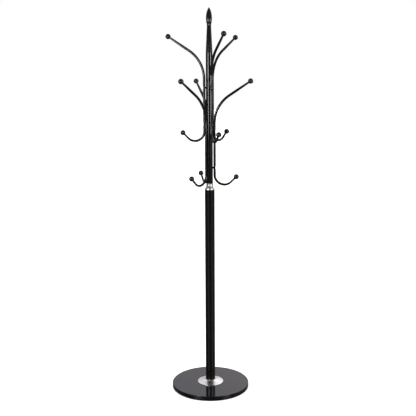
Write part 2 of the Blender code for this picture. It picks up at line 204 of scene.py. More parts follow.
@dataclass(frozen=True)
class PolishedGranite(Finish):
    """Black granite, ground and polished: a deep black under a clear mirror image."""

    crystal_colour: str = "#100f11"
    fleck_colour: str = "#434147"
    crystal_size: float = 1.1 * MM
    fleck_spacing: float = 2.6 * MM  # real flecks lie closer; drawn coarser so that they show
    haze_size: float = 70.0 * MM
    haze_roughness: float = 0.07
    rim_start: float = 177.0 * MM
    rim_end: float = 179.0 * MM
    rim_roughness: float = 0.15

    def pattern(self, tree: Tree, shader: bpy.types.Node, place: Source) -> None:
        """Grow dark crystals and sparse mica flecks, and leave a faint polishing haze.

        The rim is polished by hand, so it is duller than the top.

        Args:
            tree: Node tree of the material.
            shader: Its Principled shader.
            place: Position on the piece, in metres.
        """
        crystals = add(tree, "TexVoronoi", {"Scale": 1.0 / self.crystal_size}, {"Vector": place})
        shade = add(tree, "SeparateColor", links={"Color": (crystals, "Color")})
        body = add(
            tree,
            "ValToRGB",
            {"stops": ((0.25, self.colour), (0.95, self.crystal_colour))},
            {"Fac": (shade, "Red")},
        )
        flecks = add(tree, "TexVoronoi", {"Scale": 1.0 / self.fleck_spacing}, {"Vector": place})
        mica = add(
            tree,
            "MapRange",
            {"From Min": 0.16, "From Max": 0.10, "To Min": 0.0, "To Max": 0.7},
            {"Value": (flecks, "Distance")},
        )
        stone = add(
            tree,
            "Mix",
            {"data_type": "RGBA", "B_Color": linear(self.fleck_colour)},
            {"Factor_Float": (mica, "Result"), "A_Color": (body, "Color")},
        )
        haze = add(
            tree, "TexNoise", {"Scale": 1.0 / self.haze_size, "Detail": 4.0}, {"Vector": place}
        )
        gloss = add(
            tree,
            "MapRange",
            {"From Min": 0.35, "From Max": 0.7, "To Min": self.roughness, "To Max": self.haze_roughness},
            {"Value": (haze, "Fac")},
        )
        flat = add(
            tree,
            "VectorMath",
            {"operation": "MULTIPLY", "Vector_001": (1.0, 1.0, 0.0)},
            {"Vector": place},
        )
        reach = add(tree, "VectorMath", {"operation": "LENGTH"}, {"Vector": (flat, "Vector")})
        rim = add(
            tree,
            "MapRange",
            {
                "From Min": self.rim_start,
                "From Max": self.rim_end,
                "To Min": 0.0,
                "To Max": self.rim_roughness,
            },
            {"Value": (reach, "Value")},
        )
        polish = add(
            tree,
            "Math",
            {"operation": "ADD"},
            {"Value": (gloss, "Result"), "Value_001": (rim, "Result")},
        )
        relief = add(
            tree,
            "Bump",
            {"Strength": 0.15, "Distance": 0.02 * MM},
            {"Height": (crystals, "Distance")},
        )
        connect(
            tree,
            shader,
            {
                "Base Color": (stone, "Result_Color"),
                "Roughness": (polish, "Value"),
                "Normal": (relief, "Normal"),
            },
        )


@dataclass(frozen=True)
class SawnGranite(Finish):
    """The same granite as the saw leaves it underneath: grey, matt and lined."""

    line_spacing: float = 3.0 * MM

    def pattern(self, tree: Tree, shader: bpy.types.Node, place: Source) -> None:
        """Draw the saw's passes and the grain between them.

        Args:
            tree: Node tree of the material.
            shader: Its Principled shader.
            place: Position on the piece, in metres.
        """
        lines = add(
            tree,
            "TexWave",
            {"Scale": wave_scale(self.line_spacing), "Distortion": 2.0, "Detail": 3.0},
            {"Vector": place},
        )
        grain = add(tree, "TexNoise", {"Scale": 1.0 / MM, "Detail": 3.0}, {"Vector": place})
        tone = add(
            tree,
            "ValToRGB",
            {"stops": ((0.3, self.colour), (0.8, "#5a595b"))},
            {"Fac": (grain, "Fac")},
        )
        relief = add(
            tree,
            "Bump",
            {"Strength": 0.5, "Distance": 0.1 * MM},
            {"Height": (lines, "Fac")},
        )
        connect(
            tree,
            shader,
            {
                "Base Color": (tone, "Color"),
                "Normal": (relief, "Normal"),
            },
        )


@dataclass(frozen=True)
class PowderCoat(Finish):
    """Gloss polyester powder baked on steel: black, wet-looking, with a soft orange peel."""

    thin_colour: str = "#161516"  # where the powder pulls back from an edge
    peel_size: float = 3.5 * MM
    peel_depth: float = 0.006 * MM
    handling_size: float = 45.0 * MM
    handled_roughness: float = 0.2
    dust_spacing: float = 5.0 * MM  # real dust is finer; drawn coarser so that it shows

    def pattern(self, tree: Tree, shader: bpy.types.Node, place: Source) -> None:
        """Add orange peel, thin edges, handling marks and specks of dust.

        Args:
            tree: Node tree of the material.
            shader: Its Principled shader.
            place: Position on the piece, in metres.
        """
        edges = (add(tree, "NewGeometry"), "Pointiness")
        thin = add(
            tree,
            "MapRange",
            {"From Min": 0.52, "From Max": 0.6, "To Min": 0.0, "To Max": 0.8},
            {"Value": edges},
        )
        coat = add(
            tree,
            "Mix",
            {
                "data_type": "RGBA",
                "A_Color": linear(self.colour),
                "B_Color": linear(self.thin_colour),
            },
            {"Factor_Float": (thin, "Result")},
        )
        specks = add(tree, "TexVoronoi", {"Scale": 1.0 / self.dust_spacing}, {"Vector": place})
        dust = add(
            tree,
            "MapRange",
            {"From Min": 0.07, "From Max": 0.03, "To Min": 0.0, "To Max": 0.35},
            {"Value": (specks, "Distance")},
        )
        surface = add(
            tree,
            "Mix",
            {"data_type": "RGBA", "B_Color": linear("#6d6a66")},
            {"Factor_Float": (dust, "Result"), "A_Color": (coat, "Result_Color")},
        )
        along = add(tree, "Mapping", {"Scale": (1.0, 1.0, 0.35)}, {"Vector": place})
        marks = add(
            tree,
            "TexNoise",
            {"Scale": 1.0 / self.handling_size, "Detail": 5.0, "Roughness": 0.6},
            {"Vector": (along, "Vector")},
        )
        gloss = add(
            tree,
            "MapRange",
            {"From Min": 0.4, "From Max": 0.72, "To Min": self.roughness, "To Max": self.handled_roughness},
            {"Value": (marks, "Fac")},
        )
        peel = add(
            tree, "TexNoise", {"Scale": 1.0 / self.peel_size, "Detail": 1.0}, {"Vector": place}
        )
        relief = add(
            tree,
            "Bump",
            {"Strength": 1.0, "Distance": self.peel_depth},
            {"Height": (peel, "Fac")},
        )
        connect(
            tree,
            shader,
            {
                "Base Color": (surface, "Result_Color"),
                "Roughness": (gloss, "Result"),
                "Normal": (relief, "Normal"),
            },
        )


@dataclass(frozen=True)
class MouldedPhenolic(Finish):
    """Black phenolic resin, pressed in a mould and tumbled: glassy, with faint flow marks."""

    flow_colour: str = "#191717"
    flow_size: float = 6.0 * MM
    tumble_size: float = 1.8 * MM
    tumbled_roughness: float = 0.24

    def pattern(self, tree: Tree, shader: bpy.types.Node, place: Source) -> None:
        """Add the resin's flow marks and the dull spots that tumbling leaves.

        Args:
            tree: Node tree of the material.
            shader: Its Principled shader.
            place: Position on the piece, in metres.
        """
        flow = add(
            tree,
            "TexNoise",
            {"Scale": 1.0 / self.flow_size, "Detail": 3.0, "Distortion": 1.5},
            {"Vector": place},
        )
        tone = add(
            tree,
            "ValToRGB",
            {"stops": ((0.4, self.colour), (0.75, self.flow_colour))},
            {"Fac": (flow, "Fac")},
        )
        dents = add(
            tree, "TexNoise", {"Scale": 1.0 / self.tumble_size, "Detail": 2.0}, {"Vector": place}
        )
        gloss = add(
            tree,
            "MapRange",
            {"From Min": 0.4, "From Max": 0.7, "To Min": self.roughness, "To Max": self.tumbled_roughness},
            {"Value": (dents, "Fac")},
        )
        relief = add(
            tree,
            "Bump",
            {"Strength": 0.6, "Distance": 0.01 * MM},
            {"Height": (dents, "Fac")},
        )
        connect(
            tree,
            shader,
            {
                "Base Color": (tone, "Color"),
                "Roughness": (gloss, "Result"),
                "Normal": (relief, "Normal"),
            },
        )


@dataclass(frozen=True)
class ChromePlate(Finish):
    """Bright chrome over nickel on spun steel: a mirror with faint rings and hand marks."""

    cloud_colour: str = "#d9d4cd"
    ring_spacing: float = 1.6 * MM  # spinning marks lie closer; drawn coarser so that they show
    smear_size: float = 22.0 * MM
    smear_roughness: float = 0.38

    def pattern(self, tree: Tree, shader: bpy.types.Node, place: Source) -> None:
        """Add the rings of the spinning lathe and the smears of hands.

        Args:
            tree: Node tree of the material.
            shader: Its Principled shader.
            place: Position on the piece, in metres.
        """
        smears = add(
            tree,
            "TexNoise",
            {"Scale": 1.0 / self.smear_size, "Detail": 5.0, "Roughness": 0.6},
            {"Vector": place},
        )
        tone = add(
            tree,
            "ValToRGB",
            {"stops": ((0.45, self.colour), (0.85, self.cloud_colour))},
            {"Fac": (smears, "Fac")},
        )
        gloss = add(
            tree,
            "MapRange",
            {"From Min": 0.42, "From Max": 0.75, "To Min": self.roughness, "To Max": self.smear_roughness},
            {"Value": (smears, "Fac")},
        )
        rings = add(
            tree,
            "TexWave",
            {
                "wave_type": "RINGS",
                "rings_direction": "Z",
                "Scale": wave_scale(self.ring_spacing),
                "Distortion": 0.6,
            },
            {"Vector": place},
        )
        relief = add(
            tree,
            "Bump",
            {"Strength": 0.5, "Distance": 0.01 * MM},
            {"Height": (rings, "Fac")},
        )
        connect(
            tree,
            shader,
            {
                "Base Color": (tone, "Color"),
                "Roughness": (gloss, "Result"),
                "Normal": (relief, "Normal"),
            },
        )


@dataclass(frozen=True)
class PlatedSteel(Finish):
    """Steel fastener metal, zinc plated or blackened: dull, mottled and slightly tinted."""

    tint: str = "#9aa3a6"
    mottle_size: float = 2.5 * MM
    dull_roughness: float = 0.5

    def pattern(self, tree: Tree, shader: bpy.types.Node, place: Source) -> None:
        """Mottle the plating's colour and its gloss, and grain it with the tool's marks.

        Args:
            tree: Node tree of the material.
            shader: Its Principled shader.
            place: Position on the piece, in metres.
        """
        mottle = add(
            tree, "TexNoise", {"Scale": 1.0 / self.mottle_size, "Detail": 4.0}, {"Vector": place}
        )
        tone = add(
            tree,
            "ValToRGB",
            {"stops": ((0.35, self.colour), (0.7, self.tint))},
            {"Fac": (mottle, "Fac")},
        )
        gloss = add(
            tree,
            "MapRange",
            {"From Min": 0.35, "From Max": 0.7, "To Min": self.roughness, "To Max": self.dull_roughness},
            {"Value": (mottle, "Fac")},
        )
        marks = add(
            tree, "TexNoise", {"Scale": 3.0 / self.mottle_size, "Detail": 2.0}, {"Vector": place}
        )
        relief = add(
            tree,
            "Bump",
            {"Strength": 0.4, "Distance": 0.02 * MM},
            {"Height": (marks, "Fac")},
        )
        connect(
            tree,
            shader,
            {
                "Base Color": (tone, "Color"),
                "Roughness": (gloss, "Result"),
                "Normal": (relief, "Normal"),
            },
        )


@dataclass(frozen=True)
class PressedFelt(Finish):
    """Wool felt pressed to a pad: matt, dark and hairy, with a pale bloom at its rim."""

    fibre_colour: str = "#37342f"
    fibre_width: float = 0.3 * MM

    def pattern(self, tree: Tree, shader: bpy.types.Node, place: Source) -> None:
        """Tangle fibres over the pad and raise them.

        Args:
            tree: Node tree of the material.
            shader: Its Principled shader.
            place: Position on the piece, in metres.
        """
        shader.inputs["Sheen Weight"].default_value = 0.4
        fibres = add(
            tree,
            "TexNoise",
            {"Scale": 1.0 / self.fibre_width, "Detail": 3.0, "Distortion": 4.0},
            {"Vector": place},
        )
        tone = add(
            tree,
            "ValToRGB",
            {"stops": ((0.35, self.colour), (0.7, self.fibre_colour))},
            {"Fac": (fibres, "Fac")},
        )
        relief = add(
            tree,
            "Bump",
            {"Strength": 0.8, "Distance": 0.2 * MM},
            {"Height": (fibres, "Fac")},
        )
        connect(
            tree,
            shader,
            {
                "Base Color": (tone, "Color"),
                "Normal": (relief, "Normal"),
            },
        )


@dataclass(frozen=True)
class SweepPaper(Finish):
    """Matt white background paper, with the faint cloud of its rolling."""

    cloud_size: float = 400.0 * MM

    def pattern(self, tree: Tree, shader: bpy.types.Node, place: Source) -> None:
        """Cloud the paper's white a little.

        Args:
            tree: Node tree of the material.
            shader: Its Principled shader.
            place: Position on the piece, in metres.
        """
        cloud = add(
            tree, "TexNoise", {"Scale": 1.0 / self.cloud_size, "Detail": 2.0}, {"Vector": place}
        )
        tone = add(
            tree,
            "ValToRGB",
            {"stops": ((0.3, self.colour), (0.7, "#f7f6f4"))},
            {"Fac": (cloud, "Fac")},
        )
        connect(tree, shader, {"Base Color": (tone, "Color")})


def wave_scale(spacing: float) -> float:
    """Return the Wave node's scale for stripes at a spacing in metres."""
    return math.tau / (20.0 * spacing)


# Igneous silicates: an IOR near 1.54.  Polishing leaves the mirror image that the pole stands in.
GRANITE = PolishedGranite("polished_black_granite", "#070708", 0.03, ior=1.54)
SAWN_GRANITE = SawnGranite("sawn_black_granite", "#2b2b2d", 0.8, ior=1.54)
# Baked polyester powder flows out glossy, so tube and bar draw the lights as narrow streaks.
BLACK_POWDER = PowderCoat("gloss_black_powder_coat", "#090909", 0.1, ior=1.5)
# Phenolic resin has a high IOR, near 1.6, which gives each ball one small bright glint.
BLACK_PHENOLIC = MouldedPhenolic("moulded_black_phenolic", "#0c0b0b", 0.12, ior=1.6)
# Chromium reflects two thirds of the light without a tint, so it shows its surroundings.
CHROME = ChromePlate("satin_chrome_plate", "#f1f0ef", 0.3, metallic=1.0)
# Zinc with a clear passivate: grey, softly mottled, with a cool tint.
ZINC = PlatedSteel("zinc_plated_steel", "#aeb3b8", 0.32, metallic=1.0)
# Oxide-blackened steel stays a metal, dark with a dull brown sheen.
BLACKED_STEEL = PlatedSteel("black_oxide_steel", "#3a3a3d", 0.25, 1.0, tint="#2c2826", dull_roughness=0.4)
FELT = PressedFelt("pressed_wool_felt", "#191817", 0.95, ior=1.5)
PAPER = SweepPaper("white_sweep_paper", "#f3f2f0", 0.9, ior=1.45)


# ---------------------------------------------------------------- mesh work


@dataclass(frozen=True)
class Corner:
    """One corner of a turned outline and the rounding on it."""

    radius: float
    height: float
    rounding: float = 0.0


def rounded(corners: Sequence[Corner], closed: bool = True) -> Outline:
    """Round the corners of an outline, with flat faces held flat beside each rounding.

    Args:
        corners: The outline's corners in order.
        closed: Whether the last corner joins the first.

    Returns:
        Points of (radius, height).
    """
    points = [Vector((corner.radius, corner.height)) for corner in corners]
    count = len(points)
    ways = [(points[(index + 1) % count] - points[index]).normalized() for index in range(count)]
    halves = [(-ways[index - 1]).angle(ways[index]) / 2.0 for index in range(count)]
    cuts = [corner.rounding / math.tan(half) for corner, half in zip(corners, halves)]
    frees = [
        (points[(index + 1) % count] - points[index]).length - cuts[index] - cuts[(index + 1) % count]
        for index in range(count)
    ]
    outline: Outline = []
    for index, corner in enumerate(corners):
        here = points[index]
        loose_end = not closed and index in (0, count - 1)
        if corner.rounding == 0.0 or loose_end:
            outline.append(tuple(here))
            continue
        before, after = -ways[index - 1], ways[index]
        centre = here + (before + after).normalized() * corner.rounding / math.sin(halves[index])
        first = here + before * cuts[index] - centre
        last = here + after * cuts[index] - centre
        turn = math.pi - 2.0 * halves[index]
        ease = SUPPORT * corner.rounding
        outline.append(tuple(here + before * (cuts[index] + min(ease, frees[index - 1] / 3.0))))
        for step in range(ARC_STEPS + 1):
            share = step / ARC_STEPS
            spoke = (first * math.sin((1.0 - share) * turn) + last * math.sin(share * turn)) / math.sin(turn)
            outline.append(tuple(centre + spoke))
        outline.append(tuple(here + after * (cuts[index] + min(ease, frees[index] / 3.0))))
    return outline


def bezier(controls: Sequence[tuple[float, float]], steps: int) -> Outline:
    """Return the points of one cubic curve.

    Args:
        controls: Four (radius, height) control points in millimetres.
        steps: Number of pieces that the curve is cut into.

    Returns:
        Points of (radius, height) in metres.
    """
    points: Outline = []
    for step in range(steps + 1):
        t = step / steps
        weights = ((1 - t) ** 3, 3 * t * (1 - t) ** 2, 3 * t * t * (1 - t), t**3)
        radius = sum(weight * point[0] for weight, point in zip(weights, controls))
        height = sum(weight * point[1] for weight, point in zip(weights, controls))
        points.append((radius * MM, height * MM))
    return points


def finished(shape: bmesh.types.BMesh, name: str) -> bpy.types.Mesh:
    """Turn a bmesh into a smooth-shaded mesh that keeps its sharp edges.

    Args:
        shape: The bmesh, which is freed.
        name: Name of the mesh.

    Returns:
        The mesh.
    """
    bmesh.ops.remove_doubles(shape, verts=shape.verts, dist=MERGE_DISTANCE)
    bmesh.ops.recalc_face_normals(shape, faces=shape.faces)
    mesh = bpy.data.meshes.new(name)
    shape.to_mesh(mesh)
    shape.free()
    mesh.shade_smooth()
    mesh.set_sharp_from_angle(angle=SHARP_ANGLE)
    return mesh


def turned(name: str, outline: Outline, sides: int, closed: bool = True) -> bpy.types.Mesh:
    """Spin an outline about Z.

    Args:
        name: Name of the mesh.
        outline: Points of (radius, height); an open one starts and ends on the axis.
        sides: Number of facets round the axis.
        closed: Whether the outline is a loop off the axis.

    Returns:
        The turned mesh.
    """
    shape = bmesh.new()
    points = [shape.verts.new((radius, 0.0, height)) for radius, height in outline]
    edges = [shape.edges.new(pair) for pair in zip(points, points[1:])]
    if closed:
        edges.append(shape.edges.new((points[-1], points[0])))
    bmesh.ops.spin(
        shape,
        geom=points + edges,
        cent=(0.0, 0.0, 0.0),
        axis=(0.0, 0.0, 1.0),
        angle=math.tau,
        steps=sides,
    )
    return finished(shape, name)


def cut(mesh: bpy.types.Mesh, cutter: bpy.types.Mesh) -> bpy.types.Mesh:
    """Cut one mesh out of another with an exact boolean.

    Args:
        mesh: Mesh to be cut.
        cutter: Mesh to take away.

    Returns:
        The cut mesh.
    """
    work = bpy.data.objects.new("cut_work", mesh)
    tool = bpy.data.objects.new("cut_tool", cutter)
    for item in (work, tool):
        bpy.context.scene.collection.objects.link(item)
    modifier = work.modifiers.new("Boolean", "BOOLEAN")
    modifier.operation = "DIFFERENCE"
    modifier.solver = "EXACT"
    modifier.object = tool
    depsgraph = bpy.context.evaluated_depsgraph_get()
    result = bpy.data.meshes.new_from_object(work.evaluated_get(depsgraph))
    result.name = mesh.name
    for item in (work, tool):
        bpy.data.objects.remove(item, do_unlink=True)
    result.set_sharp_from_angle(angle=SHARP_ANGLE)
    return result


def merged(name: str, meshes: Sequence[bpy.types.Mesh]) -> bpy.types.Mesh:
    """Gather several meshes in one.

    Args:
        name: Name of the new mesh.
        meshes: Meshes to gather.

    Returns:
        The new mesh.
    """
    shape = bmesh.new()
    for mesh in meshes:
        shape.from_mesh(mesh)
    return finished(shape, name)


ALONG_X = Matrix.Rotation(math.pi / 2.0, 4, "Y")  # lays a turned piece along +X


# ---------------------------------------------------------------- sub-assemblies


class SubAssembly:
    """Pieces that are made, dressed and fitted together."""

    def fit(
        self,
        name: str,
        mesh: bpy.types.Mesh,
        node: str,
        finish: Finish,
        slot: Slot,
        place: Matrix | None = None,
    ) -> bpy.types.Object:
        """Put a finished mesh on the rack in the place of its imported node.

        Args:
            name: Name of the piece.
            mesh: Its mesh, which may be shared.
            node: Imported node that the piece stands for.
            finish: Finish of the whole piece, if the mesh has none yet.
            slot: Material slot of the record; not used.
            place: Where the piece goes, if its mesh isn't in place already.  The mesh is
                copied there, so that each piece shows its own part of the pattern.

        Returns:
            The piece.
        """
        if not mesh.materials:
            mesh.materials.append(finish.material())
        if place is not None:
            mesh = mesh.copy()
            mesh.transform(place)
        piece = bpy.data.objects.new(name, mesh)
        bpy.context.scene.collection.objects.link(piece)
        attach(piece, BODY)
        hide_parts(node)
        LOG.info("%s stands for %s, in %s", name, node, finish.title)
        return piece

    def dress(self, node: str, finish: Finish) -> None:
        """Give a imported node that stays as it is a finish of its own.

        Args:
            node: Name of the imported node.
            finish: Finish for all of its material slots.
        """
        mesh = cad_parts[node].data
        for index in range(len(mesh.materials)):
            mesh.materials[index] = finish.material()
        LOG.info("%s stays as packed, in %s", node, finish.title)


@dataclass
class StoneFoot(SubAssembly):
    """The granite slab, its felt pads and the bolt that holds the pole to it."""

    sides: int = 160
    rim_round: float = 2.5 * MM
    bore: float = 5.5 * MM
    counterbore: float = 20.0 * MM
    counterbore_depth: float = 10.0 * MM
    bore_round: float = 0.5 * MM
    pad_round: float = 0.35 * MM
    pad_fray: float = 0.12 * MM
    pad_lobes: int = 23

    def build(self) -> None:
        """Make the slab and the pads, and dress the bolt and the washer."""
        self.fit("granite_slab", self.slab(), "base_slab", GRANITE, Slot.STONE)
        for number in range(1, 5):
            node = f"base_pad_{number}"
            low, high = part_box(node)
            centre = (low + high) / 2.0
            place = Matrix.Translation((centre.x, centre.y, 0.0)) @ Matrix.Rotation(number, 4, "Z")
            pad = self.pad((high.x - low.x) / 2.0, high.z)
            self.fit(f"felt_pad_{number}", pad, node, FELT, Slot.FELT, place)
        for node in ("base_bolt", "base_washer"):
            self.dress(node, ZINC)

    def slab(self) -> bpy.types.Mesh:
        """Turn the slab, polished on top and round its rim and sawn underneath.

        Returns:
            The slab's mesh, in place.
        """
        low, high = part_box("base_slab")
        ceiling = low.z + self.counterbore_depth
        outline = rounded(
            (
                Corner(self.bore, ceiling, self.bore_round),
                Corner(self.counterbore, ceiling),
                Corner(self.counterbore, low.z, self.bore_round),
                Corner(high.x, low.z, self.rim_round),
                Corner(high.x, high.z, self.rim_round),
                Corner(self.bore, high.z, self.bore_round),
            )
        )
        mesh = turned("granite_slab", outline, self.sides)
        mesh.materials.append(GRANITE.material())
        mesh.materials.append(SAWN_GRANITE.material())
        for face in mesh.polygons:
            face.material_index = int(face.normal.z < -0.9)
        return mesh

    def pad(self, radius: float, height: float) -> bpy.types.Mesh:
        """Cut one felt pad, with a slightly frayed rim.

        Args:
            radius: Radius of the pad.
            height: Thickness of the pad.

        Returns:
            The pad's mesh, standing on the floor at the origin.
        """
        outline = rounded(
            (
                Corner(0.0, 0.0),
                Corner(radius, 0.0, self.pad_round),
                Corner(radius, height, self.pad_round),
                Corner(0.0, height),
            ),
            closed=False,
        )
        mesh = turned("felt_pad", outline, 96, closed=False)
        for vertex in mesh.vertices:
            reach = vertex.co.xy.length / radius
            angle = math.atan2(vertex.co.y, vertex.co.x)
            fray = math.sin(self.pad_lobes * angle) * math.sin(5 * angle + vertex.co.z / MM)
            vertex.co.xy *= 1.0 - self.pad_fray / radius * (1.0 + fray) * reach**6
        return mesh


@dataclass
class SpunCover(SubAssembly):
    """The chromed steel cover, spun to a low dish with a collar round the pole."""

    sides: int = 160
    sheet: float = 1.2 * MM
    rim_rise: float = 1.6 * MM
    dish_rise: float = 3.8 * MM
    fillet: float = 5.0 * MM
    lip_round: float = 0.5 * MM
    crown: float = 0.5 * MM

    def build(self) -> None:
        """Make the cover."""
        self.fit("spun_cover", self.cover(), "base_cover", CHROME, Slot.CHROME)

    def cover(self) -> bpy.types.Mesh:
        """Turn the cover's sheet, with a rolled rim, a crowned dish and an eased lip.

        Returns:
            The cover's mesh, in place.
        """
        low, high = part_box("base_cover")
        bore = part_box("lower_pole")[1].x + CLEARANCE
        collar = bore + self.sheet
        rim = high.x
        dish_top = low.z + self.rim_rise + self.dish_rise
        crowned = self.dish(rim - self.sheet / 2, low.z + self.rim_rise, collar + self.fillet, dish_top)
        outer = [Corner(rim, low.z, 0.3 * MM), Corner(rim, low.z + self.rim_rise, 0.8 * MM)]
        outer += [Corner(radius, height) for radius, height in crowned]
        outer += self.sweep(collar, dish_top, self.fillet)
        outer += [Corner(collar, high.z, self.lip_round), Corner(bore, high.z, 0.3 * MM)]
        inner = self.sweep(collar, dish_top, self.fillet + self.sheet)
        inner += [Corner(radius, height - self.sheet) for radius, height in crowned]
        outer += [Corner(corner.radius, corner.height) for corner in reversed(inner)]
        outer.append(Corner(rim - self.sheet, low.z, 0.3 * MM))
        return turned("spun_cover", rounded(outer), self.sides)

    def dish(self, start: float, low: float, end: float, high: float) -> Outline:
        """Return points of the dish's side, crowned a little between its ends.

        Args:
            start: Radius at the rim.
            low: Height at the rim.
            end: Radius at the foot of the collar.
            high: Height at the foot of the collar.

        Returns:
            Points of (radius, height), without the two ends.
        """
        points: Outline = []
        steps = 10
        for step in range(1, steps):
            share = step / steps
            rise = low + (high - low) * share + self.crown * math.sin(math.pi * share)
            points.append((start + (end - start) * share, rise))
        return points

    def sweep(self, collar: float, dish_top: float, radius: float) -> list[Corner]:
        """Return the points that sweep the dish up into the collar.

        Args:
            collar: Outer radius of the collar.
            dish_top: Height where the dish ends.
            radius: Radius of the sweep.

        Returns:
            Unrounded corners from the dish to the collar.
        """
        steps = 12
        points = []
        for step in range(steps + 1):
            angle = math.radians(270.0 - 90.0 * step / steps)
            across = collar + self.fillet + radius * math.cos(angle)
            points.append(Corner(across, dish_top + self.fillet + radius * math.sin(angle)))
        return points


@dataclass
class Pole(SubAssembly):
    """Lower pole, chromed reducer and upper tube, with the plugs and the stud inside."""

    sides: int = 96
    wall: float = 1.5 * MM
    end_round: float = 0.5 * MM
    reducer_bore: float = 5.3 * MM
    reducer_band: float = 2.2 * MM
    reducer_waist: float = 22.0 * MM
    reducer_neck: float = 15.2 * MM
    hole_radius: float = 2.3 * MM
    hole_margin: float = 7.0 * MM

    def build(self) -> None:
        """Make the three visible pieces, and dress what joins them inside."""
        self.fit("pole_tube", self.lower_pole(), "lower_pole", BLACK_POWDER, Slot.BLACK_PAINT)
        self.fit("turned_reducer", self.reducer(), "chrome_reducer", CHROME, Slot.CHROME)
        self.fit("stem_tube", self.upper_tube(), "upper_tube", BLACK_POWDER, Slot.BLACK_PAINT)
        for node in ("pole_foot_plug", "pole_head_plug", "tube_foot_plug", "joining_stud"):
            self.dress(node, ZINC)

    def tube(self, name: str, node: str, rings: Sequence[float] = ()) -> bpy.types.Mesh:
        """Turn a plain tube with eased ends.

        Args:
            name: Name of the mesh.
            node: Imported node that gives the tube's size and place.
            rings: Heights of extra edge loops, rising.

        Returns:
            The tube's mesh, in place.
        """
        low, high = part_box(node)
        inner = high.x - self.wall
        outline = [
            Corner(inner, low.z),
            Corner(high.x, low.z, self.end_round),
            *(Corner(high.x, ring) for ring in rings),
            Corner(high.x, high.z, self.end_round),
            Corner(inner, high.z),
            *(Corner(inner, ring) for ring in reversed(rings)),
        ]
        return turned(name, rounded(outline), self.sides)

    def lower_pole(self) -> bpy.types.Mesh:
        """Return the lower pole's tube."""
        return self.tube("pole_tube", "lower_pole")

    def upper_tube(self) -> bpy.types.Mesh:
        """Turn the upper tube and drill it for every screw.

        Returns:
            The drilled tube's mesh, in place.
        """
        seats = [seat for bar in all_bars() for seat in bar.seats()]
        heights = sorted({round(seat.z, 5) for seat in seats})
        rings = [height + side * self.hole_margin for height in heights for side in (-1, 1)]
        tube = self.tube("stem_tube", "upper_tube", rings)
        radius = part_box("upper_tube")[1].x
        outline = [(0.0, radius - 3 * self.wall), (self.hole_radius, radius - 3 * self.wall)]
        outline += [(self.hole_radius, radius + self.wall), (0.0, radius + self.wall)]
        drills = []
        for seat in seats:
            drill = turned("drill", outline, 24, closed=False)
            turn = math.atan2(seat.y, seat.x)
            place = Matrix.Translation((0.0, 0.0, seat.z)) @ Matrix.Rotation(turn, 4, "Z")
            drill.transform(place @ ALONG_X)
            drills.append(drill)
        return cut(tube, merged("drills", drills))

    def reducer(self) -> bpy.types.Mesh:
        """Turn the reducer, whose side falls in one smooth wave from pole to tube.

        Returns:
            The reducer's mesh, in place.
        """
        low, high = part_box("chrome_reducer")
        outline = [Corner(self.reducer_bore, low.z), Corner(high.x, low.z, self.end_round)]
        steps = 28
        for step in range(steps + 1):
            share = step / steps
            fall = (1.0 - math.cos(math.pi * share)) / 2.0
            radius = high.x - (high.x - self.reducer_neck) * fall
            outline.append(Corner(radius, low.z + self.reducer_band + self.reducer_waist * share))
        outline += [Corner(self.reducer_neck, high.z, self.end_round), Corner(self.reducer_bore, high.z)]
        return turned("turned_reducer", rounded(outline), self.sides)


@dataclass
class Finial(SubAssembly):
    """The turned finial on top: a tapering skirt, a waist and a pointed bud."""

    sides: int = 96
    spigot: float = 13.2 * MM
    lip_round: float = 0.4 * MM
    skirt: tuple = ((15.0, 1556.3), (14.0, 1580.0), (10.9, 1640.0), (9.6, 1671.0))
    shoulder: tuple = ((9.6, 1671.0), (9.5, 1683.0), (13.5, 1683.0), (13.5, 1706.0))
    point: tuple = ((13.5, 1706.0), (13.4, 1719.0), (9.6, 1739.0), (0.0, 1750.0))

    def build(self) -> None:
        """Make the finial."""
        self.fit("turned_finial", self.finial(), "finial", BLACK_POWDER, Slot.BLACK_PAINT)

    def finial(self) -> bpy.types.Mesh:
        """Turn the finial with its spigot.

        Returns:
            The finial's mesh, in place.
        """
        low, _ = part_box("finial")
        brim, collar = (value * MM for value in self.skirt[0])
        outline = rounded(
            (
                Corner(0.0, low.z),
                Corner(self.spigot, low.z, 2.0 * self.lip_round),
                Corner(self.spigot, collar),
                Corner(brim, collar, self.lip_round),
                Corner(*bezier(self.skirt, 24)[1]),
            ),
            closed=False,
        )
        outline += bezier(self.skirt, 24)[2:]
        outline += bezier(self.shoulder, 20)[1:]
        outline += bezier(self.point, 32)[1:]
        return turned("turned_finial", outline, self.sides, closed=False)


@dataclass(frozen=True)
class Station:
    """One point of a bar's centreline in its own plane, and the way it runs on."""

    reach: float
    height: float
    heading: float

    def ahead(self, distance: float) -> Station:
        """Return the station a straight distance on."""
        return Station(
            self.reach + distance * math.cos(self.heading),
            self.height + distance * math.sin(self.heading),
            self.heading,
        )

    def bent(self, radius: float, angle: float) -> Station:
        """Return the station at the end of an arc to the left.

        Args:
            radius: Radius of the arc.
            angle: Angle that the arc turns through.

        Returns:
            The station after the bend.
        """
        end = self.heading + angle
        return Station(
            self.reach + radius * (math.sin(end) - math.sin(self.heading)),
            self.height - radius * (math.cos(end) - math.cos(self.heading)),
            end,
        )


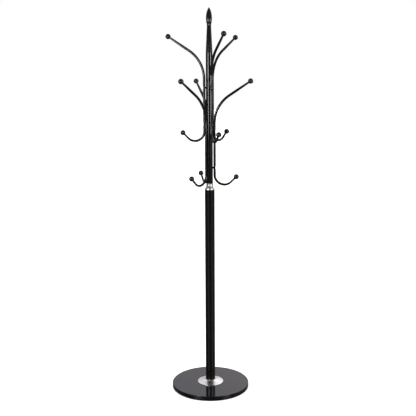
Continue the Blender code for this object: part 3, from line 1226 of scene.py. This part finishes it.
@dataclass
class HookBar(SubAssembly):
    """One bent bar with its two balls, and the sleeves and screws that hold it."""

    tier: Tier
    number: int
    bar_radius: float = 5.8 * MM
    end_radius: float = 4.4 * MM
    taper: float = 75.0 * MM
    run_length: float = 231.9 * MM
    branch_slope: float = math.radians(33.4)
    branch_bend: float = 148.0 * MM
    branch_length: float = 114.4 * MM
    hook_bend: float = 43.6 * MM
    hook_turn: float = math.radians(135.0)
    hook_length: float = 34.3 * MM
    upper_seat_drop: float = 38.5 * MM  # below the start of the straight run
    seat_depth: float = 1.8 * MM
    seat_flat: float = 6.0 * MM
    seat_ramp: float = 4.0 * MM
    seat_spread: float = 0.35 * MM  # how far the pressed metal bulges sideways
    ball_radius: float = 12.0 * MM
    ball_hold: float = 8.0 * MM
    ball_flash: float = 0.1 * MM
    screw_radius: float = 2.0 * MM
    head_radius: float = 3.5 * MM
    head_rim: float = 0.3 * MM
    key_width: float = 2.5 * MM
    key_depth: float = 1.6 * MM
    sides: int = 32

    @property
    def prefix(self) -> str:
        """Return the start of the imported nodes' names."""
        return f"{self.tier.value}_hook_{self.number}"

    def seats(self) -> list[Vector]:
        """Return the middle of each sleeve, the upper one first."""
        boxes = [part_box(f"{self.prefix}_spacer_{index}") for index in (1, 2)]
        return [(low + high) / 2.0 for low, high in boxes]

    def run_reach(self) -> float:
        """Return the distance from the pole's axis to the bar's straight run."""
        screw_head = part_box("lower_hook_1_screw_1")[1].x
        return screw_head + self.seat_depth - self.bar_radius

    def tip(self) -> Station:
        """Return the top ball's centre, with heights from the start of the straight run."""
        across = self.branch_bend * (1.0 - math.sin(self.branch_slope))
        rise = self.branch_bend * math.cos(self.branch_slope)
        return Station(
            self.run_reach() + across + self.branch_length * math.cos(self.branch_slope),
            rise + self.branch_length * math.sin(self.branch_slope),
            math.pi + self.branch_slope,
        )

    def seat_drops(self) -> tuple[float, float]:
        """Return how far below the start of the run both seats lie."""
        upper, lower = self.seats()
        return self.upper_seat_drop, self.upper_seat_drop + upper.z - lower.z

    def stations(self) -> Iterator[Station]:
        """Yield the centreline from the top ball's centre to the lower ball's."""
        here = self.tip()
        for step in range(10):
            yield here.ahead(self.branch_length * step / 10)
        here = here.ahead(self.branch_length)
        turn = math.pi / 2 - self.branch_slope
        for step in range(24):
            yield here.bent(self.branch_bend, turn * step / 24)
        run = here.bent(self.branch_bend, turn)
        span = self.seat_flat + self.seat_ramp
        drops = [0.0]
        for seat in self.seat_drops():
            drops += [seat - span + 2 * span * step / 20 for step in range(21)]
        for drop in drops:
            yield run.ahead(drop)
        here = run.ahead(self.run_length)
        for step in range(40):
            yield here.bent(self.hook_bend, self.hook_turn * step / 40)
        here = here.bent(self.hook_bend, self.hook_turn)
        for step in range(5):
            yield here.ahead(self.hook_length * step / 4)

    def press(self, station: Station) -> float:
        """Return how far a station's outer side is pressed in, as a share of a seat's depth."""
        if not math.isclose(station.reach, self.run_reach(), abs_tol=MERGE_DISTANCE):
            return 0.0
        past = min(abs(-station.height - drop) for drop in self.seat_drops()) - self.seat_flat
        share = 1.0 - min(1.0, max(0.0, past / self.seat_ramp))
        return share * share * (3.0 - 2.0 * share)

    def bar(self) -> bpy.types.Mesh:
        """Sweep the bar, taper its ends, press its seats and drill them.

        Returns:
            The bar's mesh in the plane X-Z, with the start of its run at height 0.
        """
        path = list(self.stations())
        offset = self.ball_radius - self.ball_hold
        path[0] = path[0].ahead(offset)
        path[-1] = path[-1].ahead(-offset)
        steps = [math.dist((a.reach, a.height), (b.reach, b.height)) for a, b in zip(path, path[1:])]
        travelled = [sum(steps[:index]) for index in range(len(path))]
        shape = bmesh.new()
        rings = []
        for station, along in zip(path, travelled):
            to_end = min(along, travelled[-1] - along) / self.taper
            radius = self.end_radius + (self.bar_radius - self.end_radius) * min(1.0, to_end)
            rings.append(self.ring(shape, station, radius))
        for upper, lower in zip(rings, rings[1:]):
            for side in range(self.sides):
                shape.faces.new((upper[side - 1], upper[side], lower[side], lower[side - 1]))
        for ring in (rings[0], rings[-1]):
            shape.faces.new(ring)
        return cut(finished(shape, "bent_bar"), self.drills())

    def ring(self, shape: bmesh.types.BMesh, station: Station, radius: float) -> list:
        """Add one section of the bar.

        Args:
            shape: The bar's bmesh.
            station: Where the section goes.
            radius: Radius of the bar there.

        Returns:
            The section's vertices in order.
        """
        press = self.press(station)
        limit = radius - self.seat_depth * press
        ring = []
        for side in range(self.sides):
            angle = math.tau * (side + 0.5) / self.sides
            outward = min(radius * math.cos(angle), limit)
            sideways = (radius + self.seat_spread * press * max(0.0, math.cos(angle))) * math.sin(angle)
            place = (
                station.reach - outward * math.sin(station.heading),
                sideways,
                station.height + outward * math.cos(station.heading),
            )
            ring.append(shape.verts.new(place))
        return ring

    def drills(self) -> bpy.types.Mesh:
        """Return the cutter for both countersunk holes."""
        seat = self.run_reach() + self.bar_radius - self.seat_depth
        back = self.run_reach() - self.bar_radius - MM
        mouth = self.head_radius + CLEARANCE / 2
        hole = self.screw_radius + CLEARANCE
        shoulder = seat - self.head_rim
        outline = [(0.0, back), (hole, back), (hole, shoulder - (mouth - hole))]
        outline += [(mouth, shoulder), (mouth, seat + MM), (0.0, seat + MM)]
        drills = []
        for drop in self.seat_drops():
            drill = turned("drill", outline, 32, closed=False)
            drill.transform(Matrix.Translation((0.0, 0.0, -drop)) @ ALONG_X)
            drills.append(drill)
        return merged("drills", drills)

    def ball(self) -> bpy.types.Mesh:
        """Turn a ball with a socket for the bar and the thin flash of its mould.

        Returns:
            The ball's mesh round the origin, with its socket downwards.
        """
        socket = self.end_radius + CLEARANCE / 2
        skin = self.ball_radius - self.ball_flash
        floor = -(self.ball_radius - self.ball_hold) + CLEARANCE
        start = math.asin(socket / skin) - math.pi / 2
        outline = [(0.0, floor), (socket, floor)]
        steps = 48
        for step in range(steps + 1):
            angle = start + (math.pi / 2 - start) * step / steps
            flash = self.ball_flash * math.exp(-((angle * self.ball_radius / (0.3 * MM)) ** 2))
            outline.append(((skin + flash) * math.cos(angle), (skin + flash) * math.sin(angle)))
        outline[-1] = (0.0, skin)
        return turned("moulded_ball", outline, 64, closed=False)

    def sleeve(self) -> bpy.types.Mesh:
        """Turn the sleeve between tube and bar, with eased rims.

        Returns:
            The sleeve's mesh along +X.
        """
        low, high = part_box("lower_hook_1_spacer_1")
        radius = (high.z - low.z) / 2.0
        bore = self.screw_radius + CLEARANCE
        outline = rounded(
            (
                Corner(bore, low.x),
                Corner(radius, low.x, 0.3 * MM),
                Corner(radius, high.x, 0.3 * MM),
                Corner(bore, high.x),
            )
        )
        mesh = turned("sleeve", outline, 48)
        mesh.transform(ALONG_X)
        return mesh

    def screw(self) -> bpy.types.Mesh:
        """Turn a countersunk screw and broach its hexagon socket.

        Returns:
            The screw's mesh along +X.
        """
        low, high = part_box("lower_hook_1_screw_1")
        cone = high.x - self.head_rim
        outline = rounded(
            (
                Corner(0.0, low.x),
                Corner(self.screw_radius, low.x, 0.4 * MM),
                Corner(self.screw_radius, cone - (self.head_radius - self.screw_radius)),
                Corner(self.head_radius, cone),
                Corner(self.head_radius, high.x, 0.1 * MM),
                Corner(0.0, high.x),
            ),
            closed=False,
        )
        socket = bmesh.new()
        bmesh.ops.create_cone(
            socket,
            cap_ends=True,
            segments=6,
            radius1=self.key_width / math.sqrt(3.0),
            radius2=self.key_width / math.sqrt(3.0),
            depth=2.0 * self.key_depth,
            matrix=Matrix.Translation((0.0, 0.0, high.x)),
        )
        mesh = cut(turned("socket_screw", outline, 48, closed=False), finished(socket, "key"))
        mesh.transform(ALONG_X)
        return mesh

    def build(self, shared: dict[str, bpy.types.Mesh]) -> None:
        """Fit the bar, its balls, sleeves and screws.

        Args:
            shared: Meshes that every hook bar uses, by name.
        """
        seats = self.seats()
        turn = Matrix.Rotation(math.atan2(seats[0].y, seats[0].x), 4, "Z")
        run_start = Matrix.Translation((0.0, 0.0, seats[0].z + self.upper_seat_drop)) @ turn
        name = f"{self.tier.value}_{self.number}"
        self.fit(f"{name}_bar", shared["bar"], f"{self.prefix}_bar", BLACK_POWDER, Slot.BLACK_PAINT, run_start)
        path = list(self.stations())
        for end, station, outward in (
            ("top", path[0], path[0].heading + math.pi),
            ("low", path[-1], path[-1].heading),
        ):
            place = Matrix.Translation((station.reach, 0.0, station.height))
            tilt = Matrix.Rotation(math.pi / 2 - outward, 4, "Y")
            self.fit(
                f"{name}_{end}_knob",
                shared["ball"],
                f"{self.prefix}_{end}_ball",
                BLACK_PHENOLIC,
                Slot.BLACK_BALL,
                run_start @ place @ tilt,
            )
        for index, seat in enumerate(seats, start=1):
            place = Matrix.Translation((0.0, 0.0, seat.z)) @ turn
            node = f"{self.prefix}_spacer_{index}"
            self.fit(f"{name}_sleeve_{index}", shared["sleeve"], node, BLACK_POWDER, Slot.BLACK_PAINT, place)
            node = f"{self.prefix}_screw_{index}"
            self.fit(f"{name}_socket_{index}", shared["screw"], node, BLACKED_STEEL, Slot.SCREW_STEEL, place)


def all_bars() -> list[HookBar]:
    """Return the six hook bars, the lower tier first."""
    return [HookBar(tier, number) for tier in Tier for number in (1, 2, 3)]


# ---------------------------------------------------------------- studio


@dataclass(frozen=True)
class Softbox:
    """A tall soft light, placed by its bearing from the camera's side of the rack."""

    name: str
    bearing: float  # degrees to the right of the camera, seen from the camera
    distance: float
    width: float
    low: float
    high: float
    power: float


@dataclass
class Studio:
    """White sweep, soft lights, a plain surround and the camera."""

    azimuth: float = 10.67
    distance: float = 3.358
    height: float = 1.451
    pitch: float = 10.0
    pan: float = -0.14
    roll: float = -0.28
    lens: float = 64.5
    floor_size: float = 60.0
    overhead: float = 4.4
    sheen: float = 0.4  # how brightly the floor mirrors the softboxes back at the rack
    softboxes: tuple = (
        Softbox("left_softbox", -38.0, 2.4, 0.6, 1.05, 1.72, 24.0),
        Softbox("right_softbox", 49.0, 2.4, 0.6, 1.05, 1.72, 17.0),
    )

    def build(self) -> None:
        """Set up the floor, the lights, the surround and the camera."""
        self.floor()
        self.sun()
        for box in self.softboxes:
            self.softbox(box)
        self.surround()
        self.camera()
        bpy.context.scene.view_settings.view_transform = "Standard"

    def floor(self) -> None:
        """Lay the white paper, which the gloss pieces don't mirror."""
        shape = bmesh.new()
        bmesh.ops.create_grid(shape, x_segments=8, y_segments=8, size=self.floor_size / 2)
        mesh = finished(shape, "paper_sweep")
        mesh.materials.append(PAPER.material())
        sweep = bpy.data.objects.new("paper_sweep", mesh)
        sweep.visible_glossy = False
        bpy.context.scene.collection.objects.link(sweep)

    def place_lamp(self, lamp: bpy.types.Light, place: Matrix) -> bpy.types.Object:
        """Put a lamp in the scene, unseen by the camera.

        Args:
            lamp: The lamp's data.
            place: Where it stands and how it is turned.

        Returns:
            The lamp.
        """
        light = bpy.data.objects.new(lamp.name, lamp)
        light.matrix_world = place
        light.visible_camera = False
        bpy.context.scene.collection.objects.link(light)
        return light

    def sun(self) -> None:
        """Wash the paper evenly from above with a very wide, soft source."""
        lamp = bpy.data.lights.new("overhead_bank", "SUN")
        lamp.energy = self.overhead
        lamp.angle = math.radians(120.0)
        light = self.place_lamp(lamp, Matrix.Translation((0.0, 0.0, 4.0)))
        light.visible_glossy = False

    def softbox(self, box: Softbox) -> None:
        """Stand one softbox facing the rack.

        Args:
            box: Its size, place and power.
        """
        lamp = bpy.data.lights.new(box.name, "AREA")
        lamp.shape = "RECTANGLE"
        lamp.size = box.width
        lamp.size_y = box.high - box.low
        lamp.energy = box.power
        bearing = math.radians(self.azimuth + box.bearing)
        place = Matrix.Translation(
            (
                box.distance * math.sin(bearing),
                -box.distance * math.cos(bearing),
                (box.low + box.high) / 2.0,
            )
        )
        self.place_lamp(lamp, place @ Matrix.Rotation(bearing, 4, "Z") @ Matrix.Rotation(math.pi / 2, 4, "X"))

    def surround(self) -> None:
        """Give the gloss a surround that is bright above the horizon and dark below it."""
        world = bpy.data.worlds.new("white_surround")
        world.use_nodes = True
        tree = world.node_tree
        background = tree.nodes["Background"]
        way = (add(tree, "TexCoord"), "Generated")
        parts = add(tree, "SeparateXYZ", links={"Vector": way})
        behind = add(
            tree,
            "ValToRGB",
            {
                "stops": (
                    (0.0, "#505050"),
                    (0.10, "#c0bdc3"),
                    (0.44, "#c4c1c7"),
                    (0.56, "#ffffff"),
                    (0.72, "#e0e0e0"),
                    (0.86, "#4c4c4c"),
                )
            },
            {"Fac": (parts, "Z")},
        )
        in_front = add(
            tree,
            "ValToRGB",
            {
                "stops": (
                    (0.0, "#1e1e1e"),
                    (0.07, "#625c55"),
                    (0.60, "#65605a"),
                    (0.85, "#4c4c4c"),
                )
            },
            {"Fac": (parts, "Z")},
        )
        side = add(
            tree,
            "MapRange",
            {"interpolation_type": "SMOOTHSTEP", "From Min": -0.3, "From Max": 0.4},
            {"Value": (parts, "Y")},
        )
        gradient = add(
            tree,
            "MapRange",
            {"From Min": -0.32, "From Max": -0.06, "To Min": 1.15, "To Max": 1.66},
            {"Value": (parts, "X")},
        )
        level = add(
            tree,
            "Mix",
            {"data_type": "RGBA"},
            {
                "Factor_Float": (side, "Result"),
                "A_Color": (in_front, "Color"),
                "B_Color": (behind, "Color"),
            },
        )
        seen = add(
            tree,
            "VectorMath",
            {"operation": "SCALE"},
            {"Vector": (level, "Result_Color"), "Scale": (gradient, "Result")},
        )
        flat = add(
            tree,
            "VectorMath",
            {"operation": "MULTIPLY", "Vector_001": (1.0, 1.0, 0.0)},
            {"Vector": way},
        )
        heading = add(tree, "VectorMath", {"operation": "NORMALIZE"}, {"Vector": (flat, "Vector")})
        below = add(
            tree,
            "MapRange",
            {"From Min": 0.0, "From Max": -0.12, "To Min": 0.0, "To Max": self.sheen},
            {"Value": (parts, "Z")},
        )
        for box in self.softboxes:
            bearing = math.radians(self.azimuth + box.bearing)
            towards = (math.sin(bearing), -math.cos(bearing), 0.0)
            facing = add(
                tree,
                "VectorMath",
                {"operation": "DOT_PRODUCT", "Vector_001": towards},
                {"Vector": (heading, "Vector")},
            )
            patch = add(
                tree,
                "MapRange",
                {"interpolation_type": "SMOOTHSTEP", "From Min": 0.96, "From Max": 0.995},
                {"Value": (facing, "Value")},
            )
            glow = add(
                tree,
                "Math",
                {"operation": "MULTIPLY"},
                {"Value": (patch, "Result"), "Value_001": (below, "Result")},
            )
            seen = add(
                tree,
                "VectorMath",
                {"operation": "ADD"},
                {"Vector": (seen, "Vector"), "Vector_001": (glow, "Value")},
            )
        direct = (add(tree, "LightPath"), "Is Camera Ray")
        colour = add(
            tree,
            "Mix",
            {"data_type": "RGBA", "B_Color": linear("#ffffff")},
            {"Factor_Float": direct, "A_Color": (seen, "Vector")},
        )
        connect(tree, background, {"Color": (colour, "Result_Color")})
        bpy.context.scene.world = world

    def camera(self) -> None:
        """Stand the camera where the whole rack fills the frame."""
        data = bpy.data.cameras.new("studio_camera")
        data.lens = self.lens
        data.sensor_width = 36.0
        camera = bpy.data.objects.new("studio_camera", data)
        bearing = math.radians(self.azimuth)
        stand = (self.distance * math.sin(bearing), -self.distance * math.cos(bearing), self.height)
        camera.matrix_world = (
            Matrix.Translation(stand)
            @ Matrix.Rotation(bearing - math.radians(self.pan), 4, "Z")
            @ Matrix.Rotation(math.radians(90.0 - self.pitch), 4, "X")
            @ Matrix.Rotation(math.radians(self.roll), 4, "Z")
        )
        bpy.context.scene.collection.objects.link(camera)
        bpy.context.scene.camera = camera


def main() -> None:
    """Build the rack's looks from the floor up, then the studio round it."""
    logging.basicConfig(level=logging.INFO, format="%(name)s: %(message)s")
    for assembly in (StoneFoot(), SpunCover(), Pole(), Finial()):
        assembly.build()
    pattern = HookBar(Tier.LOWER, 1)
    shared = {
        "bar": pattern.bar(),
        "ball": pattern.ball(),
        "sleeve": pattern.sleeve(),
        "screw": pattern.screw(),
    }
    for bar in all_bars():
        bar.build(shared)
    Studio().build()


if __name__ == "__main__":
    main()
